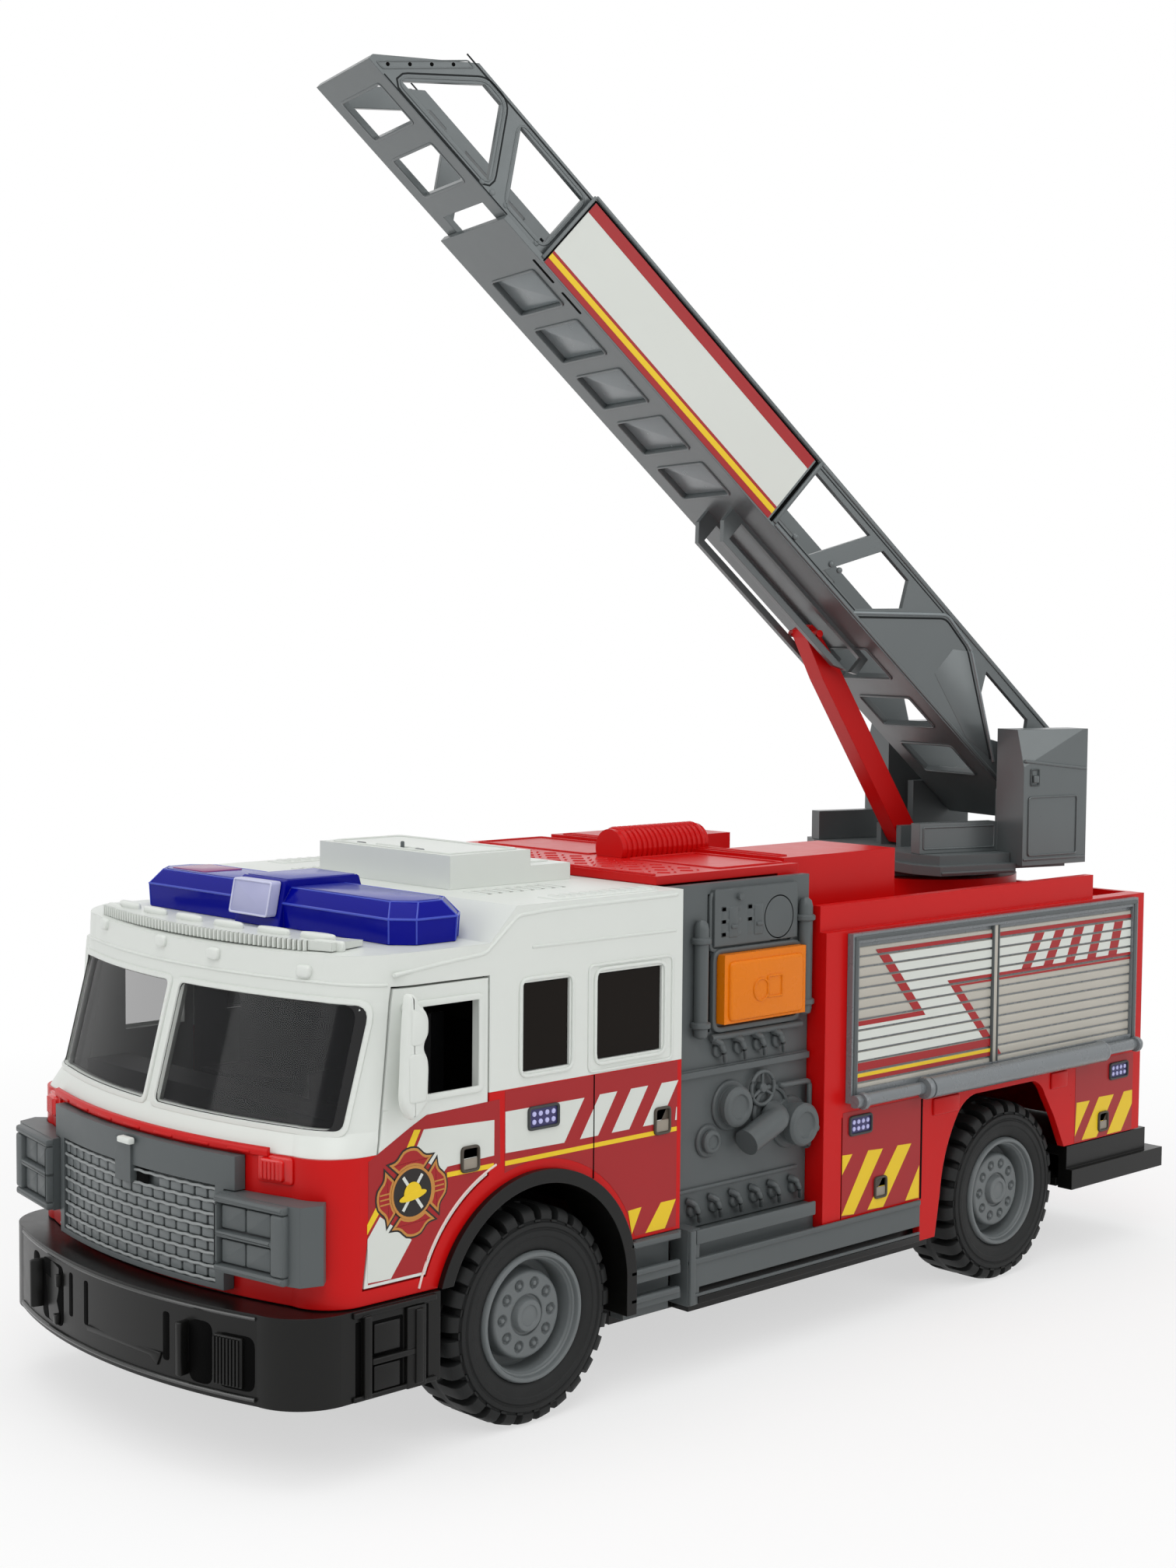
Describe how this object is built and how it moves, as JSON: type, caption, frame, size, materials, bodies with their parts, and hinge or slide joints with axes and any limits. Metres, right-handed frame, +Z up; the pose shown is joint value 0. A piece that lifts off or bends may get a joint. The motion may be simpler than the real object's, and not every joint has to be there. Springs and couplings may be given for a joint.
{
  "type": "toy ladder fire engine",
  "caption": "Toy fire engine with a hollow cab, hinged front doors, free-rolling wheels and a turntable that carries a raising, sliding ladder with a strut.",
  "frame": {"origin": "on the ground, midway along and across the whole toy as it stands with its ladder raised", "axes": "+Z up, the front of the vehicle faces -Y, its left side is +X"},
  "size_m": [0.1363, 0.3402, 0.333],
  "materials": {
    "black_plastic": "satin moulded",
    "red_plastic": "gloss",
    "white_plastic": "gloss",
    "grey_plastic": "satin moulded",
    "blue_clear": "clear tinted gloss",
    "orange_plastic": "gloss",
    "smoked_window": "gloss",
    "windshield": "clear tinted",
    "tyre": "satin",
    "rim_grey": "satin moulded",
    "steel": "drawn",
    "silver_plastic": "metallic",
    "cabin_plastic": "moulded",
    "lamp_grey": "satin moulded"
  },
  "bodies": {
    "chassis": {"chassis": "black_plastic", "battery_cover": "black_plastic", "front_bumper": "black_plastic", "front_axle": "steel", "rear_axle": "steel", "cab_lower": "red_plastic", "cab_upper": "white_plastic", "windshield": "windshield", "dashboard": "cabin_plastic", "cabin_floor": "cabin_plastic", "front_seats": "cabin_plastic", "crew_windows_left": "smoked_window", "crew_windows_right": "smoked_window", "grille": "lamp_grey", "headlamp_left": "lamp_grey", "headlamp_right": "lamp_grey", "sun_visor": "white_plastic", "light_bar": "blue_clear", "roof_unit": "white_plastic", "fender_flare_left": "black_plastic", "fender_flare_right": "black_plastic", "pump_panel_left": "grey_plastic", "pump_panel_right": "grey_plastic", "sound_button": "orange_plastic", "hose_bed": "red_plastic", "hose_reel": "red_plastic", "rear_body": "red_plastic", "shutter_left": "silver_plastic", "shutter_right": "silver_plastic", "side_tube_left": "silver_plastic", "side_tube_right": "silver_plastic", "side_step_left": "grey_plastic", "side_step_right": "grey_plastic", "side_rocker_left": "grey_plastic", "side_rocker_right": "grey_plastic", "tailboard": "black_plastic", "turntable_ring": "red_plastic"},
    "wheel_front_left": {"tyre_front_left": "tyre", "rim_front_left": "rim_grey"},
    "wheel_front_right": {"tyre_front_right": "tyre", "rim_front_right": "rim_grey"},
    "wheel_rear_left": {"tyre_rear_left": "tyre", "rim_rear_left": "rim_grey"},
    "wheel_rear_right": {"tyre_rear_right": "tyre", "rim_rear_right": "rim_grey"},
    "door_left": {"door_left": "white_plastic", "mirror_left": "white_plastic"},
    "door_right": {"door_right": "white_plastic", "mirror_right": "white_plastic"},
    "turntable": {"turntable": "grey_plastic", "cabinet_left": "grey_plastic", "cabinet_right": "grey_plastic"},
    "ladder": {"ladder_base": "grey_plastic"},
    "fly": {"ladder_fly": "grey_plastic"},
    "strut": {"ladder_strut": "red_plastic"}
  },
  "joints": [
    {"name": "spin_front_left", "type": "hinge", "parent": "chassis", "child": "wheel_front_left", "pos_m": [0.0495, -0.09, 0.0255], "axis": [1, 0, 0], "continuous": true},
    {"name": "spin_front_right", "type": "hinge", "parent": "chassis", "child": "wheel_front_right", "pos_m": [-0.0495, -0.09, 0.0255], "axis": [1, 0, 0], "continuous": true},
    {"name": "spin_rear_left", "type": "hinge", "parent": "chassis", "child": "wheel_rear_left", "pos_m": [0.0495, 0.09, 0.0255], "axis": [1, 0, 0], "continuous": true},
    {"name": "spin_rear_right", "type": "hinge", "parent": "chassis", "child": "wheel_rear_right", "pos_m": [-0.0495, 0.09, 0.0255], "axis": [1, 0, 0], "continuous": true},
    {"name": "door_left_swing", "type": "hinge", "parent": "chassis", "child": "door_left", "pos_m": [0.0592, -0.1401, 0.074], "axis": [0, 0, -1], "range_deg": [0, 60]},
    {"name": "door_right_swing", "type": "hinge", "parent": "chassis", "child": "door_right", "pos_m": [-0.0592, -0.1401, 0.074], "axis": [0, 0, 1], "range_deg": [0, 60]},
    {"name": "turntable_turn", "type": "hinge", "parent": "chassis", "child": "turntable", "pos_m": [0, 0.125, 0.114], "axis": [0, 0, 1], "continuous": true},
    {"name": "ladder_raise", "type": "hinge", "parent": "turntable", "child": "ladder", "pos_m": [0.00722, 0.15102, 0.1366], "axis": [-0.9636, 0.2672, 0], "range_deg": [-38.5, 17.5]},
    {"name": "fly_slide", "type": "slide", "parent": "ladder", "child": "fly", "axis": [-0.197, -0.7105, 0.6756], "range_m": [-0.046, 0.035]},
    {"name": "strut_tilt", "type": "hinge", "parent": "turntable", "child": "strut", "pos_m": [-0.00214, 0.11729, 0.1226], "axis": [-0.9636, 0.2672, 0], "range_deg": [-50.45, 22.95]}
  ],
  "couplings": [
    {"joint": "strut_tilt", "follows": "ladder_raise", "ratio": 1.31}
  ]
}
